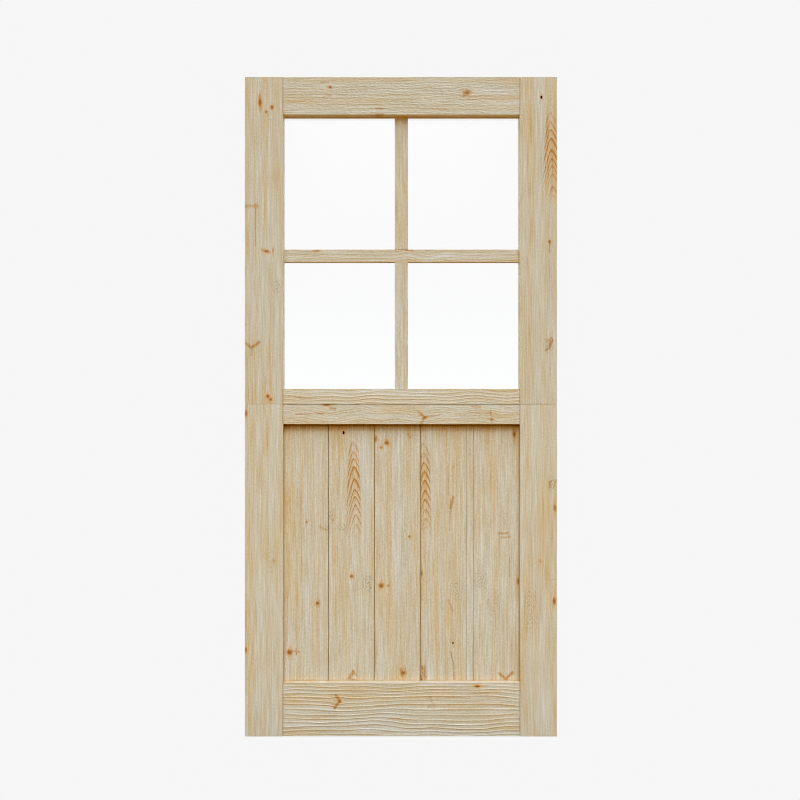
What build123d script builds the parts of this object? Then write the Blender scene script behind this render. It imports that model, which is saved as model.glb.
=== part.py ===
from build123d import *
import os

os.makedirs("parts", exist_ok=True)

# ---------------------------------------------------------------------------
# Driving dimensions, in millimetres
# ---------------------------------------------------------------------------

# The pair of leaves as one door
door_width = 962.0
door_height = 2032.0
thickness = 44.0
left_stile_width = 117.4
right_stile_width = 114.3
arris = 0.8  # easing of the sawn edges

# Meeting joint between the leaves: the lower leaf has an upstand at the front,
# the upper leaf a lip that hangs behind it
seam_z = 1024.1
seam_gap_stiles = 1.1
rail_seam_z = 1023.4
seam_gap_rails = 1.4
lap_height = 16.0
upstand_depth = 21.25
lap_gap = 1.5

# Rails
top_rail_bottom_z = 1916.0
upper_meeting_rail_top_z = 1070.8
lower_meeting_rail_bottom_z = 962.0
bottom_rail_height = 165.0
bottom_rail_depth = 25.0

# Glazing
bar_recess = 25.0  # front of the bars behind the front of the door
bar_width = 40.0  # of the level bar
upright_bar_width = 41.2
upright_bar_off_centre = 1.4
bar_stem = 14.0
bar_z = 1484.5
rebate_recess = 31.0  # glass seat behind the front of the door
rebate_width = 13.0
glass_thickness = 4.0
bedding = 0.25  # in front of and behind the glass
glass_edge_gap = 2.0
bead_depth = thickness - rebate_recess - glass_thickness - 2 * bedding
bead_pin_radius = 0.8
bead_pin_length = 16.0

# Boards of the lower leaf, by their joints measured from the middle of the door
board_recess = 25.0
board_depth = thickness - board_recess
board_rebate = 12.0
board_top_lap = 18.0
board_joints = [-225.0, -82.0, 61.0, 204.0, 225.5]
board_joint_gaps = [1.35, 1.35, 1.35, 0.3, 0.4]
tongue_length = 6.5
tongue_thickness = 6.0
board_arris = 0.6

# Mortise and tenon joints
tenon_length = 70.0
frame_tenon_recess = 14.5
frame_tenon_thickness = 15.0
ledge_tenon_recess = 7.0
ledge_tenon_thickness = 12.0
bar_tenon_length = 10.0
quirk_width = 1.5  # open line at the front between a rail's end and the stile, half in each
quirk_depth = 6.5

# Butt hinges
hinge_height = 100.0
hinge_centres_z = {
    "upper_leaf_top": 1866.0,
    "upper_leaf_bottom": 1190.0,
    "lower_leaf_top": 858.0,
    "lower_leaf_bottom": 182.0,
}
leaf_to_jamb_gap = 1.0
plate_thickness = 2.2
plate_front_recess = 19.5
knuckle_radius = 6.0
knuckle_bore_radius = 3.06
knuckle_gap = 0.4
pin_radius = 3.0
pin_head_radius = 4.6
pin_head_height = 2.4
axis_behind_back = 6.5
screw_hole_radius = 2.25
screw_sink_radius = 3.9
outer_screws = (38.0, 26.0)  # height from the hinge's middle, recess from the front
inner_screws = (14.0, 35.0)
screw_length = 34.0
screw_shank_radius = 2.0

# ---------------------------------------------------------------------------
# Derived positions: the origin is in the middle of the whole object, hinges
# included, at the foot of the door
# ---------------------------------------------------------------------------

total_width = door_width + leaf_to_jamb_gap / 2 + knuckle_radius
total_depth = thickness + axis_behind_back + knuckle_radius
axis_x = -total_width / 2 + knuckle_radius
left = axis_x + leaf_to_jamb_gap / 2
right = left + door_width
centre_x = (left + right) / 2
inner_left = left + left_stile_width
inner_right = right - right_stile_width
front = -total_depth / 2
back = front + thickness
middle_y = (front + back) / 2
axis_y = back + axis_behind_back
rebate_y = front + rebate_recess
bar_y = front + bar_recess
board_y = front + board_recess
lap_y = front + upstand_depth + lap_gap  # front of the lip
upstand_y = front + upstand_depth  # back of the upstand
glass_y = rebate_y + bedding
bead_y = back - bead_depth
bar_x = centre_x + upright_bar_off_centre
bar_left = bar_x - upright_bar_width / 2
bar_right = bar_x + upright_bar_width / 2
bar_low = bar_z - bar_width / 2
bar_high = bar_z + bar_width / 2
lip_foot = seam_z + seam_gap_stiles / 2 - lap_height
shoulder_top = seam_z - seam_gap_stiles / 2 - lap_height


def block(x0, x1, y0, y1, z0, z1, mode=Mode.ADD):
    """A square-edged block between the given limits, added or cut."""
    with Locations(((x0 + x1) / 2, (y0 + y1) / 2, (z0 + z1) / 2)):
        Box(abs(x1 - x0), abs(y1 - y0), abs(z1 - z0), mode=mode)


def ease(part, spare=None):
    """The edges round a piece's front and back faces that take an arris."""
    edges = part.faces().sort_by(Axis.Y)[0].edges()
    edges += part.faces().sort_by(Axis.Y)[-1].edges()
    if spare is not None:
        edges = edges.filter_by(lambda e: abs(e.center().Z - spare) > 0.01)
    return edges


def quirks():
    """Shorten a rail's front at both ends, which leaves the open line beside the stiles."""
    block(inner_left - 1, inner_left + quirk_width / 2, front - 1, front + quirk_depth, -1,
          door_height + 1, Mode.SUBTRACT)
    block(inner_right - quirk_width / 2, inner_right + 1, front - 1, front + quirk_depth, -1,
          door_height + 1, Mode.SUBTRACT)


def stile_quirk(inner_x, inward, z0, z1):
    """The stile's half of the open line beside a rail."""
    block(inner_x - inward * quirk_width / 2, inner_x + inward, front - 1,
          front + quirk_depth, z0, z1, Mode.SUBTRACT)


def save(name, builder):
    """Label a finished piece and write it out."""
    builder.part.label = name
    export_step(builder.part, f"parts/{name}.step")


# ---------------------------------------------------------------------------
# Upper leaf
# ---------------------------------------------------------------------------


def upper_stile(outer_x, inner_x):
    """Upright of the upper leaf: glass rebate, lip at the foot, mortises."""
    inward = 1 if inner_x > outer_x else -1
    rebate_x = inner_x - inward * rebate_width
    x0, x1 = min(outer_x, inner_x), max(outer_x, inner_x)
    with BuildPart() as stile:
        with BuildSketch(Plane.XY.offset(lip_foot)):
            with Locations(((x0 + x1) / 2, middle_y)):
                Rectangle(x1 - x0, thickness)
        extrude(amount=door_height - lip_foot)
        fillet(ease(stile, spare=lip_foot), radius=arris)
        # the front stops above the lower leaf's upstand
        block(x0 - 1, x1 + 1, front - 1, lap_y, lip_foot - 1,
              seam_z + seam_gap_stiles / 2, Mode.SUBTRACT)
        stile_quirk(inner_x, inward, top_rail_bottom_z, door_height + 1)
        stile_quirk(inner_x, inward, lip_foot - 1, upper_meeting_rail_top_z)
        # glass rebate along the inner back edge
        block(rebate_x, inner_x + inward, rebate_y, back + 1, lip_foot - 1,
              door_height + 1, Mode.SUBTRACT)
        # mortises for the two rails
        tenon_y = front + frame_tenon_recess
        for z0, z1 in ((1924.0, 2002.0), (1032.0, 1056.0)):
            block(inner_x + inward, inner_x - inward * tenon_length, tenon_y,
                  tenon_y + frame_tenon_thickness, z0, z1, Mode.SUBTRACT)
        # mortise for the glazing bar, in the wall of the rebate
        block(rebate_x + inward, rebate_x - inward * bar_tenon_length, rebate_y + 2,
              rebate_y + 11, bar_z - 5, bar_z + 5, Mode.SUBTRACT)
    return stile


upper_left_stile = upper_stile(left, inner_left)
upper_right_stile = upper_stile(right, inner_right)

# hinge recesses in the hinged edge
with BuildPart() as upper_left_stile_cut:
    add(upper_left_stile.part)
    for key in ("upper_leaf_top", "upper_leaf_bottom"):
        z = hinge_centres_z[key]
        block(left - 1, left + plate_thickness, front + plate_front_recess, back + 1,
              z - hinge_height / 2, z + hinge_height / 2, Mode.SUBTRACT)

save("upper_leaf_left_stile", upper_left_stile_cut)
save("upper_leaf_right_stile", upper_right_stile)

with BuildPart() as top_rail:
    with BuildSketch(Plane.YZ.offset(inner_left)):
        with Locations((middle_y, (top_rail_bottom_z + door_height) / 2)):
            Rectangle(thickness, door_height - top_rail_bottom_z)
    extrude(amount=inner_right - inner_left)
    quirks()
    fillet(ease(top_rail), radius=arris)
    # long shoulders behind, which fill the stiles' rebates
    block(inner_left - rebate_width, inner_left + 2, rebate_y, back, top_rail_bottom_z,
          door_height)
    block(inner_right - 2, inner_right + rebate_width, rebate_y, back,
          top_rail_bottom_z, door_height)
    # glass rebate
    block(inner_left - rebate_width - 1, inner_right + rebate_width + 1, rebate_y,
          back + 1, top_rail_bottom_z - 1, top_rail_bottom_z + rebate_width,
          Mode.SUBTRACT)
    # tenons
    for x0, x1 in ((inner_left - tenon_length, inner_left + 2),
                   (inner_right - 2, inner_right + tenon_length)):
        block(x0, x1, front + frame_tenon_recess,
              front + frame_tenon_recess + frame_tenon_thickness, 1924.0, 2002.0)
    # socket for the foot of the upright bar's stem
    block(bar_x - 5, bar_x + 5, rebate_y + 2, rebate_y + 11,
          top_rail_bottom_z + rebate_width - 1,
          top_rail_bottom_z + rebate_width + bar_tenon_length, Mode.SUBTRACT)
save("upper_leaf_top_rail", top_rail)

with BuildPart() as upper_meeting_rail:
    rail_low = rail_seam_z + seam_gap_rails / 2
    with BuildSketch(Plane.YZ.offset(inner_left)):
        with Locations((middle_y, (rail_low + upper_meeting_rail_top_z) / 2)):
            Rectangle(thickness, upper_meeting_rail_top_z - rail_low)
    extrude(amount=inner_right - inner_left)
    quirks()
    fillet(ease(upper_meeting_rail), radius=arris)
    # lip behind the lower leaf's upstand
    block(inner_left, inner_right, lap_y, back, lip_foot, rail_low + 6)
    # long shoulders behind
    block(inner_left - rebate_width, inner_left + 2, rebate_y, back, lip_foot,
          upper_meeting_rail_top_z)
    block(inner_right - 2, inner_right + rebate_width, rebate_y, back, lip_foot,
          upper_meeting_rail_top_z)
    # glass rebate
    block(inner_left - rebate_width - 1, inner_right + rebate_width + 1, rebate_y,
          back + 1, upper_meeting_rail_top_z - rebate_width,
          upper_meeting_rail_top_z + 1, Mode.SUBTRACT)
    # tenons
    for x0, x1 in ((inner_left - tenon_length, inner_left + 2),
                   (inner_right - 2, inner_right + tenon_length)):
        block(x0, x1, front + frame_tenon_recess,
              front + frame_tenon_recess + frame_tenon_thickness, 1032.0, 1056.0)
    # socket for the foot of the upright bar's stem
    block(bar_x - 5, bar_x + 5, rebate_y + 2, rebate_y + 11,
          upper_meeting_rail_top_z - rebate_width - bar_tenon_length,
          upper_meeting_rail_top_z - rebate_width + 1, Mode.SUBTRACT)
save("upper_leaf_meeting_rail", upper_meeting_rail)

# The bars have a wide flange in front of the glass and a stem between the panes.
# They are halved where they cross: the level bar is whole in front.
halving_y = (bar_y + back) / 2

with BuildPart() as level_bar:
    with BuildSketch(Plane.YZ.offset(inner_left)):
        with Locations(((bar_y + rebate_y) / 2, bar_z)):
            Rectangle(rebate_y - bar_y, bar_width)
    extrude(amount=inner_right - inner_left)
    fillet(level_bar.faces().sort_by(Axis.Y)[0].edges().filter_by(Axis.X),
           radius=arris)
    block(inner_left - rebate_width, inner_right + rebate_width, rebate_y, back,
          bar_z - bar_stem / 2, bar_z + bar_stem / 2)
    for x0, x1 in (
        (inner_left - rebate_width - bar_tenon_length, inner_left - rebate_width + 1),
        (inner_right + rebate_width - 1, inner_right + rebate_width + bar_tenon_length),
    ):
        block(x0, x1, rebate_y + 2, rebate_y + 11, bar_z - 5, bar_z + 5)
    block(bar_x - bar_stem / 2, bar_x + bar_stem / 2, halving_y, back + 1,
          bar_z - bar_width, bar_z + bar_width, Mode.SUBTRACT)
save("glazing_bar_level", level_bar)

with BuildPart() as upright_bar:
    stem_low = upper_meeting_rail_top_z - rebate_width
    stem_high = top_rail_bottom_z + rebate_width
    with BuildSketch(Plane.XY.offset(upper_meeting_rail_top_z)):
        with Locations((bar_x, (bar_y + rebate_y) / 2)):
            Rectangle(upright_bar_width, rebate_y - bar_y)
    extrude(amount=top_rail_bottom_z - upper_meeting_rail_top_z)
    fillet(upright_bar.faces().sort_by(Axis.Y)[0].edges().filter_by(Axis.Z),
           radius=arris)
    block(bar_x - upright_bar_width, bar_x + upright_bar_width, bar_y - 1, rebate_y + 1,
          bar_low, bar_high, Mode.SUBTRACT)
    block(bar_x - bar_stem / 2, bar_x + bar_stem / 2, rebate_y, back, stem_low,
          stem_high)
    block(bar_x - bar_stem, bar_x + bar_stem, rebate_y - 1, halving_y,
          bar_z - bar_stem / 2, bar_z + bar_stem / 2, Mode.SUBTRACT)
    for z0, z1 in ((stem_low - bar_tenon_length, stem_low + 1),
                   (stem_high - 1, stem_high + bar_tenon_length)):
        block(bar_x - 5, bar_x + 5, rebate_y + 2, rebate_y + 11, z0, z1)
save("glazing_bar_upright", upright_bar)

# Sight size of each light: low x, high x, low z, high z
lights = {
    "upper_left": (inner_left, bar_left, bar_high, top_rail_bottom_z),
    "upper_right": (bar_right, inner_right, bar_high, top_rail_bottom_z),
    "lower_left": (inner_left, bar_left, upper_meeting_rail_top_z, bar_low),
    "lower_right": (bar_right, inner_right, upper_meeting_rail_top_z, bar_low),
}

for light, (x0, x1, z0, z1) in lights.items():
    grow = rebate_width - glass_edge_gap
    with BuildPart() as pane:
        block(x0 - grow, x1 + grow, glass_y, glass_y + glass_thickness, z0 - grow,
              z1 + grow)
        chamfer(pane.edges(), length=0.4)
    save(f"glass_pane_{light}", pane)


def bead(sight, wall, centre_line_is_x):
    """A mitred bead: the mitres run from the sight corners to the rebate corners."""
    (sx0, sz0), (sx1, sz1) = sight
    (wx0, wz0), (wx1, wz1) = wall
    with BuildPart() as piece:
        with BuildSketch(Plane((0, bead_y, 0), x_dir=(1, 0, 0), z_dir=(0, -1, 0))):
            with BuildLine():
                Polyline((sx0, sz0), (sx1, sz1), (wx1, wz1), (wx0, wz0), close=True)
            make_face()
        extrude(amount=-bead_depth)
        # the back edge beside the glass is rounded
        along = Axis.X if centre_line_is_x else Axis.Z
        at = sz0 if centre_line_is_x else sx0
        rounded = piece.edges().filter_by(along).group_by(Axis.Y)[-1].filter_by(
            lambda e: abs((e.center().Z if centre_line_is_x else e.center().X) - at)
            < 0.01
        )
        fillet(rounded, radius=1.5)
    return piece


pin_points = []  # start of each bead pin and the way it leans
mitre_gap = 0.15
for light, (x0, x1, z0, z1) in lights.items():
    w = rebate_width - 0.1
    g = mitre_gap
    sides = {
        "top": (((x0 + g, z1), (x1 - g, z1)), ((x0 - w + g, z1 + w), (x1 + w - g, z1 + w)), True),
        "bottom": (((x0 + g, z0), (x1 - g, z0)), ((x0 - w + g, z0 - w), (x1 + w - g, z0 - w)), True),
        "left": (((x0, z0 + g), (x0, z1 - g)), ((x0 - w, z0 - w + g), (x0 - w, z1 + w - g)), False),
        "right": (((x1, z0 + g), (x1, z1 - g)), ((x1 + w, z0 - w + g), (x1 + w, z1 + w - g)), False),
    }
    for side, (sight, wall, level) in sides.items():
        save(f"bead_{light}_{side}", bead(sight, wall, level))
        for share in (0.2, 0.8):
            px = sight[0][0] + (sight[1][0] - sight[0][0]) * share
            pz = sight[0][1] + (sight[1][1] - sight[0][1]) * share
            lean = {"top": (0, 1), "bottom": (0, -1), "left": (-1, 0), "right": (1, 0)}
            dx, dz = lean[side]
            pin_points.append((px + dx * 8.0, pz + dz * 8.0, dx, dz))

with BuildPart() as bead_pins:
    for px, pz, dx, dz in pin_points:
        with BuildSketch(Plane((px, back + 0.05, pz), x_dir=(dz, 0, dx) if dx else (1, 0, 0),
                               z_dir=(dx, -1, dz))):
            Circle(bead_pin_radius)
        extrude(amount=bead_pin_length)
save("glazing_bead_pins", bead_pins)

# ---------------------------------------------------------------------------
# Lower leaf
# ---------------------------------------------------------------------------


def lower_stile(outer_x, inner_x):
    """Upright of the lower leaf: board rebate, upstand at the head, mortises."""
    inward = 1 if inner_x > outer_x else -1
    x0, x1 = min(outer_x, inner_x), max(outer_x, inner_x)
    head = seam_z - seam_gap_stiles / 2
    with BuildPart() as stile:
        with BuildSketch(Plane.XY):
            with Locations(((x0 + x1) / 2, middle_y)):
                Rectangle(x1 - x0, thickness)
        extrude(amount=head)
        fillet(ease(stile, spare=head), radius=arris)
        # the back stops below the upper leaf's lip
        block(x0 - 1, x1 + 1, upstand_y, back + 1, shoulder_top, head + 1,
              Mode.SUBTRACT)
        stile_quirk(inner_x, inward, -1, bottom_rail_height)
        stile_quirk(inner_x, inward, lower_meeting_rail_bottom_z, head + 1)
        # board rebate along the inner back edge
        block(inner_x + inward, inner_x - inward * board_rebate, board_y, back + 1,
              -1, shoulder_top + 1, Mode.SUBTRACT)
        # mortises for the two rails
        tenon_y = front + ledge_tenon_recess
        for z0, z1 in ((974.0, 1000.0), (20.0, 146.0)):
            block(inner_x + inward, inner_x - inward * tenon_length, tenon_y,
                  tenon_y + ledge_tenon_thickness, z0, z1, Mode.SUBTRACT)
    return stile


lower_left_stile = lower_stile(left, inner_left)
lower_right_stile = lower_stile(right, inner_right)

with BuildPart() as lower_left_stile_cut:
    add(lower_left_stile.part)
    for key in ("lower_leaf_top", "lower_leaf_bottom"):
        z = hinge_centres_z[key]
        block(left - 1, left + plate_thickness, front + plate_front_recess, back + 1,
              z - hinge_height / 2, z + hinge_height / 2, Mode.SUBTRACT)

save("lower_leaf_left_stile", lower_left_stile_cut)
save("lower_leaf_right_stile", lower_right_stile)

with BuildPart() as lower_meeting_rail:
    rail_high = rail_seam_z - seam_gap_rails / 2
    with BuildSketch(Plane.YZ.offset(inner_left)):
        with Locations((middle_y, (lower_meeting_rail_bottom_z + rail_high) / 2)):
            Rectangle(thickness, rail_high - lower_meeting_rail_bottom_z)
    extrude(amount=inner_right - inner_left)
    quirks()
    fillet(ease(lower_meeting_rail), radius=arris)
    # long shoulders behind, above the boards
    for x0, x1 in ((inner_left - board_rebate, inner_left + 2),
                   (inner_right - 2, inner_right + board_rebate)):
        block(x0, x1, board_y, back, lower_meeting_rail_bottom_z, rail_high)
    # shoulder below the upper leaf's lip
    block(inner_left - board_rebate - 1, inner_right + board_rebate + 1, upstand_y,
          back + 1, shoulder_top, rail_high + 1, Mode.SUBTRACT)
    # rebate for the heads of the boards
    block(inner_left - board_rebate - 1, inner_right + board_rebate + 1, board_y,
          back + 1, lower_meeting_rail_bottom_z - 1,
          lower_meeting_rail_bottom_z + board_top_lap, Mode.SUBTRACT)
    for x0, x1 in ((inner_left - tenon_length, inner_left + 2),
                   (inner_right - 2, inner_right + tenon_length)):
        block(x0, x1, front + ledge_tenon_recess,
              front + ledge_tenon_recess + ledge_tenon_thickness, 974.0, 1000.0)
save("lower_leaf_meeting_rail", lower_meeting_rail)

with BuildPart() as bottom_rail:
    with BuildSketch(Plane.YZ.offset(inner_left)):
        with Locations((front + bottom_rail_depth / 2, bottom_rail_height / 2)):
            Rectangle(bottom_rail_depth, bottom_rail_height)
    extrude(amount=inner_right - inner_left)
    quirks()
    fillet(bottom_rail.faces().sort_by(Axis.Y)[0].edges(), radius=arris)
    for x0, x1 in ((inner_left - tenon_length, inner_left + 2),
                   (inner_right - 2, inner_right + tenon_length)):
        block(x0, x1, front + ledge_tenon_recess,
              front + ledge_tenon_recess + ledge_tenon_thickness, 20.0, 146.0)
save("lower_leaf_bottom_rail", bottom_rail)


def board(x0, x1, left_edge, right_edge):
    """A tongued and grooved board, by its section, standing on the door's foot."""
    y0, y1 = board_y, back
    c = board_arris
    t0 = (y0 + y1 - tongue_thickness) / 2
    t1 = t0 + tongue_thickness
    slack = 0.25  # round the tongue
    points = [(x0 + c, y0), (x1 - c, y0), (x1, y0 + c)]
    if right_edge == "tongue":
        points += [(x1, t0), (x1 + tongue_length - 0.5, t0), (x1 + tongue_length, t0 + 0.5),
                   (x1 + tongue_length, t1 - 0.5), (x1 + tongue_length - 0.5, t1), (x1, t1)]
    points += [(x1, y1 - c), (x1 - c, y1), (x0 + c, y1), (x0, y1 - c)]
    if left_edge == "groove":
        deep = tongue_length + 0.6
        points += [(x0, t1 + slack), (x0 + deep, t1 + slack), (x0 + deep, t0 - slack),
                   (x0, t0 - slack)]
    points += [(x0, y0 + c)]
    with BuildPart() as piece:
        with BuildSketch(Plane.XY):
            with BuildLine():
                Polyline(*points, close=True)
            make_face()
        extrude(amount=lower_meeting_rail_bottom_z + board_top_lap - 0.5)
    return piece


edges_x = [inner_left - board_rebate + 0.5]
for joint, gap in zip(board_joints, board_joint_gaps):
    edges_x += [centre_x + joint - gap / 2, centre_x + joint + gap / 2]
edges_x += [inner_right + board_rebate - 0.5]
board_names = ["board_1", "board_2", "board_3", "board_4", "board_filler_strip", "board_5"]
nail_points = []
for index, name in enumerate(board_names):
    x0, x1 = edges_x[2 * index], edges_x[2 * index + 1]
    save(name, board(
        x0,
        x1,
        "plain" if index == 0 else "groove",
        "plain" if index == len(board_names) - 1 else "tongue",
    ))
    shares = (0.5,) if x1 - x0 < 60 else (0.22, 0.78)
    for share in shares:
        nail_x = x0 + (x1 - x0) * share
        nail_points += [(nail_x, 44.0), (nail_x, 124.0), (nail_x, 971.0)]

# Lost-head nails, driven from behind through the boards into the rails
with BuildPart() as board_nails:
    for nx, nz in nail_points:
        with BuildSketch(Plane((nx, back, nz), x_dir=(1, 0, 0), z_dir=(0, -1, 0))):
            Circle(1.25)
        extrude(amount=38.0)
        with BuildSketch(Plane((nx, back, nz), x_dir=(1, 0, 0), z_dir=(0, -1, 0))):
            Circle(2.3)
        extrude(amount=1.2)
save("board_nails", board_nails)

# ---------------------------------------------------------------------------
# Hinges: a jamb plate and a leaf plate, with a pin through their knuckles
# ---------------------------------------------------------------------------


def hinge_plate(z, side):
    """One plate: side -1 is the jamb's, with three knuckles, +1 the leaf's, with two."""
    near = axis_x + side * leaf_to_jamb_gap / 2
    far = near + side * plate_thickness
    low = z - hinge_height / 2
    step = hinge_height / 5
    mine = (0, 2, 4) if side < 0 else (1, 3)
    with BuildPart() as plate:
        block(near, far, front + plate_front_recess, back, low, low + hinge_height)
        for k in mine:
            k0 = low + k * step + (knuckle_gap / 2 if k > 0 else 0)
            k1 = low + (k + 1) * step - (knuckle_gap / 2 if k < 4 else 0)
            with BuildSketch(Plane.XY.offset(k0)):
                with Locations((axis_x, axis_y)):
                    Circle(knuckle_radius)
                with Locations(((near + far) / 2, (back - 1 + axis_y - 1) / 2)):
                    Rectangle(plate_thickness, axis_y - back)
            extrude(amount=k1 - k0)
        with Locations((axis_x, axis_y, z)):
            Cylinder(knuckle_bore_radius, hinge_height + 4, mode=Mode.SUBTRACT)
        # countersunk screw holes, sunk from the face in the gap
        for height, recess in (outer_screws, inner_screws):
            for sign in (-1, 1):
                place = Plane((near, front + recess, z + sign * height),
                              x_dir=(0, 1, 0), z_dir=(-side, 0, 0))
                with Locations(place):
                    CounterSinkHole(screw_hole_radius, screw_sink_radius,
                                    depth=plate_thickness + 1, counter_sink_angle=90)
    return plate


for key, z in hinge_centres_z.items():
    save(f"{key}_hinge_jamb_plate", hinge_plate(z, -1))
    save(f"{key}_hinge_leaf_plate", hinge_plate(z, 1))
    with BuildPart() as pin:
        pin_low = z - hinge_height / 2 - 0.2
        with BuildSketch(Plane.XY.offset(pin_low)):
            with Locations((axis_x, axis_y)):
                Circle(pin_radius)
        extrude(amount=hinge_height + 0.4)
        for z0, toward in ((pin_low, -1), (pin_low + hinge_height + 0.4, 1)):
            with BuildSketch(Plane.XY.offset(z0)):
                with Locations((axis_x, axis_y)):
                    Circle(pin_head_radius)
            extrude(amount=toward * pin_head_height)
        rims = pin.edges().filter_by(GeomType.CIRCLE).sort_by(Axis.Z)
        fillet([rims[0], rims[-1]], radius=1.0)
    save(f"{key}_hinge_pin", pin)

# Countersunk wood screws through the leaf plates, cross-slotted
with BuildPart() as screw:
    head = screw_sink_radius - 0.1
    with BuildSketch(Plane.XY):
        with BuildLine():
            Polyline((0, 0), (0, head), (head - screw_shank_radius, screw_shank_radius),
                     (screw_length - 5, screw_shank_radius), (screw_length, 0),
                     close=True)
        make_face()
    revolve(axis=Axis.X)
    block(-1, 1.1, -2.4, 2.4, -0.45, 0.45, Mode.SUBTRACT)
    block(-1, 1.1, -0.45, 0.45, -2.4, 2.4, Mode.SUBTRACT)

for leaf in ("upper_leaf", "lower_leaf"):
    places = []
    for key, z in hinge_centres_z.items():
        if key.startswith(leaf):
            for height, recess in (outer_screws, inner_screws):
                places += [(left, front + recess, z - height),
                           (left, front + recess, z + height)]
    with BuildPart() as screws:
        with Locations(*places):
            add(screw.part)
    save(f"{leaf}_hinge_screws", screws)
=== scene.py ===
import bmesh
import bpy
import math
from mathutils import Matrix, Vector


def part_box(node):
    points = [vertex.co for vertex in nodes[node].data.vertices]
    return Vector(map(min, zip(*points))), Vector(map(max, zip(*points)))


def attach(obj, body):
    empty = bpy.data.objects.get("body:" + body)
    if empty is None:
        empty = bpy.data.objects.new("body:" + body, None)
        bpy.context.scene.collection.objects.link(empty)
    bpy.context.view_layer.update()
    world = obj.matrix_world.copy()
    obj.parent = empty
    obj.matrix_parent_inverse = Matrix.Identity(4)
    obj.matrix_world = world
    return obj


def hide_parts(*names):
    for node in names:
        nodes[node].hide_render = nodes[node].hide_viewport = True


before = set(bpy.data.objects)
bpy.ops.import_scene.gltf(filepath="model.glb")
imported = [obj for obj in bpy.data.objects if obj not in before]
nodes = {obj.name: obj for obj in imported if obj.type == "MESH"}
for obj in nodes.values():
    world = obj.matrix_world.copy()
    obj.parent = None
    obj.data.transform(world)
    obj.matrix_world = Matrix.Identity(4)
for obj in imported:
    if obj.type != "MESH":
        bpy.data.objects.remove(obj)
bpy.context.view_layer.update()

# ---------------------------------------------------------------------------
# The photo's view: where a point of its 800 x 800 frame lies on the door
# ---------------------------------------------------------------------------
FRONT_Y = -0.02825
CAMERA = Vector((0.00035, FRONT_Y - 2.851, 1.0367))
FRONT, DEEP = 3.0805, 3.1075  # millimetres a pixel on the stiles and on the boards


def at(px, py, mm):
    """The photo's point as x and z in millimetres, on the face that has this many millimetres a pixel."""
    return (0.35 + (px - 400.0) * mm, 1036.7 + (400.0 - py) * mm)


def srgb(r, g, b):
    def lin(c):
        c /= 255.0
        return c / 12.92 if c <= 0.04045 else ((c + 0.055) / 1.055) ** 2.4
    return (lin(r), lin(g), lin(b), 1.0)


# ---------------------------------------------------------------------------
# A short way to write node graphs, the same for a finish and for a relief
# ---------------------------------------------------------------------------
class Graph:
    def __init__(self, tree):
        self.tree = tree

    def new(self, kind, **props):
        n = self.tree.nodes.new(kind)
        for k, v in props.items():
            setattr(n, k, v)
        return n

    def put(self, value, socket):
        if isinstance(value, bpy.types.NodeSocket):
            self.tree.links.new(value, socket)
        elif value is not None:
            socket.default_value = value

    def math(self, op, a, b=None, c=None, clamp=False):
        n = self.new("ShaderNodeMath", operation=op, use_clamp=clamp)
        for i, x in enumerate((a, b, c)):
            if x is not None:
                self.put(x, n.inputs[i])
        return n.outputs[0]

    def add(self, a, b): return self.math("ADD", a, b)
    def sub(self, a, b): return self.math("SUBTRACT", a, b)
    def mul(self, a, b): return self.math("MULTIPLY", a, b)
    def madd(self, a, b, c): return self.math("MULTIPLY_ADD", a, b, c)
    def most(self, a, b): return b if a is None else self.math("MAXIMUM", a, b)

    def step(self, x, lo, hi, out_lo=0.0, out_hi=1.0, smooth=True):
        n = self.new("ShaderNodeMapRange", interpolation_type="SMOOTHSTEP" if smooth else "LINEAR", clamp=True)
        for name, v in (("Value", x), ("From Min", lo), ("From Max", hi), ("To Min", out_lo), ("To Max", out_hi)):
            self.put(v, n.inputs[name])
        return n.outputs["Result"]

    def vec(self, x=0.0, y=0.0, z=0.0):
        n = self.new("ShaderNodeCombineXYZ")
        for i, v in enumerate((x, y, z)):
            self.put(v, n.inputs[i])
        return n.outputs[0]

    def split(self, v):
        n = self.new("ShaderNodeSeparateXYZ")
        self.put(v, n.inputs[0])
        return n.outputs

    def vmath(self, op, a, b=None):
        n = self.new("ShaderNodeVectorMath", operation=op)
        self.put(a, n.inputs[0])
        if b is not None:
            self.put(b, n.inputs[1])
        return n.outputs["Value"] if op in ("LENGTH", "DOT_PRODUCT") else n.outputs["Vector"]

    def noise(self, v, detail=1.0, rough=0.5):
        """Soft noise about 0, mostly within plus and minus a half."""
        n = self.new("ShaderNodeTexNoise", noise_dimensions="3D")
        self.put(v, n.inputs["Vector"])
        n.inputs["Scale"].default_value = 1.0
        n.inputs["Detail"].default_value = detail
        n.inputs["Roughness"].default_value = rough
        return self.madd(n.outputs[0], 1.6, -0.8)

    def white(self, w):
        n = self.new("ShaderNodeTexWhiteNoise", noise_dimensions="1D")
        self.put(w, n.inputs["W"])
        return n.outputs["Value"]

    def mixc(self, fac, a, b, blend="MIX"):
        n = self.new("ShaderNodeMix", data_type="RGBA", blend_type=blend)
        self.put(fac, n.inputs[0])
        self.put(a, n.inputs[6])
        self.put(b, n.inputs[7])
        return n.outputs[2]

    def ramp(self, fac, stops):
        n = self.new("ShaderNodeValToRGB")
        r = n.color_ramp
        while len(r.elements) < len(stops):
            r.elements.new(0.5)
        for e, (pos, col) in zip(r.elements, stops):
            e.position = pos
            e.color = col
        self.put(fac, n.inputs[0])
        return n.outputs["Color"]


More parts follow.
